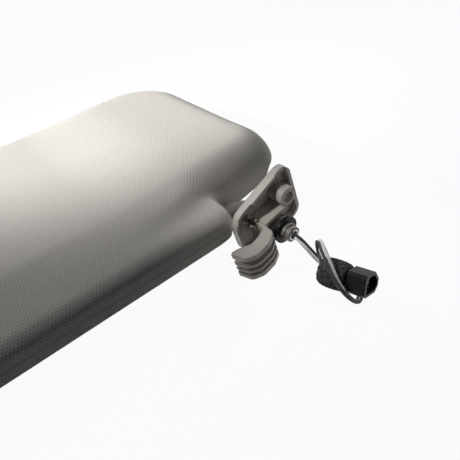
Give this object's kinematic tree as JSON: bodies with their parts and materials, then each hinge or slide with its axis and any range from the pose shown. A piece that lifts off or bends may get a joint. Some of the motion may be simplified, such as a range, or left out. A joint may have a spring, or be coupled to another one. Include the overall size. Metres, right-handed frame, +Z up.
{
  "type": "car sun visor",
  "caption": "Padded fabric car sun visor with a hinged arm, roof bracket, lit vanity mirror under a lid, and a two-way wire lead.",
  "frame": {"origin": "middle of the footprint of blade and bracket at the surface it lies on", "axes": "+X along the arm axis from the inboard peg towards the pivot, +Y from the rod edge towards the free edge, +Z up, away from the vanity side"},
  "size_m": [0.4, 0.2292, 0.0417],
  "materials": {
    "visor_fabric": "matte",
    "core_plastic": "matte",
    "steel": "satin",
    "spring_steel": "satin",
    "cover_plastic": "satin",
    "cover_plastic_black": "satin",
    "bush_plastic": "matte",
    "peg_plastic": "satin",
    "vanity_plastic": "satin",
    "mirror_glass": "polished",
    "lens": "frosted",
    "lamp_glass": "clear",
    "brass": "satin",
    "bracket_plastic": "satin",
    "black_insulation": "satin",
    "white_insulation": "satin",
    "foam": "matte",
    "connector_plastic": "satin",
    "lock_plastic": "satin"
  },
  "bodies": {
    "bracket": {"roof_bracket": "bracket_plastic", "swivel_sleeve": "steel"},
    "arm": {"pivot_tube": "steel", "elbow_cover": "cover_plastic", "retaining_ring": "cover_plastic_black", "tube_stop_ring": "steel", "arm_wires": "white_insulation", "black_wire": "black_insulation", "white_wire": "white_insulation", "foam_wrap": "foam", "connector_housing": "connector_plastic", "connector_lock": "lock_plastic", "connector_terminals": "brass"},
    "blade": {"fabric_upper": "visor_fabric", "fabric_lower": "visor_fabric", "core_upper": "core_plastic", "core_lower": "core_plastic", "outer_bush": "bush_plastic", "inner_bush": "bush_plastic", "clip_carrier": "core_plastic", "detent_clip": "spring_steel", "clip_rivets": "steel", "support_peg": "peg_plastic", "vanity_frame": "vanity_plastic", "mirror_glass": "mirror_glass", "lid_hinge_pins": "steel", "lid_leaf_spring": "spring_steel", "lamp_lens_inboard": "lens", "lamp_lens_outboard": "lens", "festoon_lamp_inboard": "lamp_glass", "festoon_lamp_outboard": "lamp_glass", "lamp_contacts_inboard": "brass", "lamp_contacts_outboard": "brass", "blade_wires": "white_insulation"},
    "lid": {"vanity_lid": "vanity_plastic"}
  },
  "joints": [
    {"name": "arm_swivel", "type": "hinge", "parent": "bracket", "child": "arm", "pos_m": [0.158, -0.05885, 0.0153], "axis": [0, -1, 0], "range_deg": [0, 95]},
    {"name": "blade_tilt", "type": "hinge", "parent": "arm", "child": "blade", "pos_m": [0.158, -0.05885, 0.0153], "axis": [1, 0, 0], "range_deg": [-90, 45]},
    {"name": "vanity_lid_hinge", "type": "hinge", "parent": "blade", "child": "lid", "pos_m": [0, -0.01635, 0.0017], "axis": [-1, 0, 0], "range_deg": [0, 95]}
  ]
}
